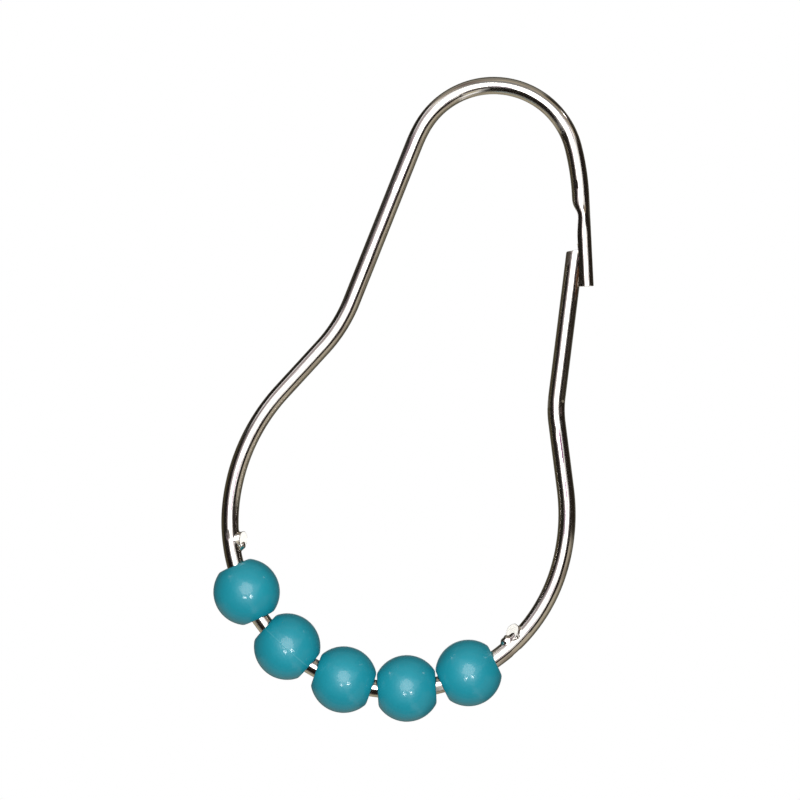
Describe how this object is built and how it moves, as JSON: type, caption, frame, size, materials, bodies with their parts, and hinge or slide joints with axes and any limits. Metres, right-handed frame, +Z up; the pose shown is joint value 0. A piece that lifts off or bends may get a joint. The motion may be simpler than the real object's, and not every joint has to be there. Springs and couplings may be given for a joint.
{
  "type": "shower curtain hook",
  "caption": "Roller shower curtain hook: a plated spring wire bent into a bow with moulded roller beads over the rod, and an eye below that opens at a snap clasp.",
  "frame": {"origin": "centre of the bow, where the axis of the curtain rod passes", "axes": "+Z up along the hung hook, +Y along the rod, +X towards the plain arm; the clasp is on the -X side"},
  "size_m": [0.0424, 0.008, 0.0789],
  "materials": {
    "plated_wire": "nickel-plated spring steel wire, bright, with a little rust at the clasp",
    "bead_plastic": "moulded plastic, blue-green, glossy"
  },
  "bodies": {
    "hook": {"hook_wire": "plated_wire"},
    "bead_1": {"bead_1": "bead_plastic"},
    "bead_2": {"bead_2": "bead_plastic"},
    "bead_3": {"bead_3": "bead_plastic"},
    "bead_4": {"bead_4": "bead_plastic"},
    "bead_5": {"bead_5": "bead_plastic"}
  },
  "joints": [
    {"name": "bead_1_spin", "type": "hinge", "parent": "hook", "child": "bead_1", "pos_m": [0.01534, 0, 0.01283], "axis": [-0.6418, 0, 0.7669], "continuous": true},
    {"name": "bead_2_spin", "type": "hinge", "parent": "hook", "child": "bead_2", "pos_m": [0.00892, 0, 0.0179], "axis": [-0.8949, 0, 0.4463], "continuous": true},
    {"name": "bead_3_spin", "type": "hinge", "parent": "hook", "child": "bead_3", "pos_m": [0.00135, 0, 0.01995], "axis": [-0.9977, 0, 0.0675], "continuous": true},
    {"name": "bead_4_spin", "type": "hinge", "parent": "hook", "child": "bead_4", "pos_m": [-0.00624, 0, 0.019], "axis": [-0.9501, 0, -0.312], "continuous": true},
    {"name": "bead_5_spin", "type": "hinge", "parent": "hook", "child": "bead_5", "pos_m": [-0.01291, 0, 0.01527], "axis": [-0.7635, 0, -0.6458], "continuous": true}
  ]
}
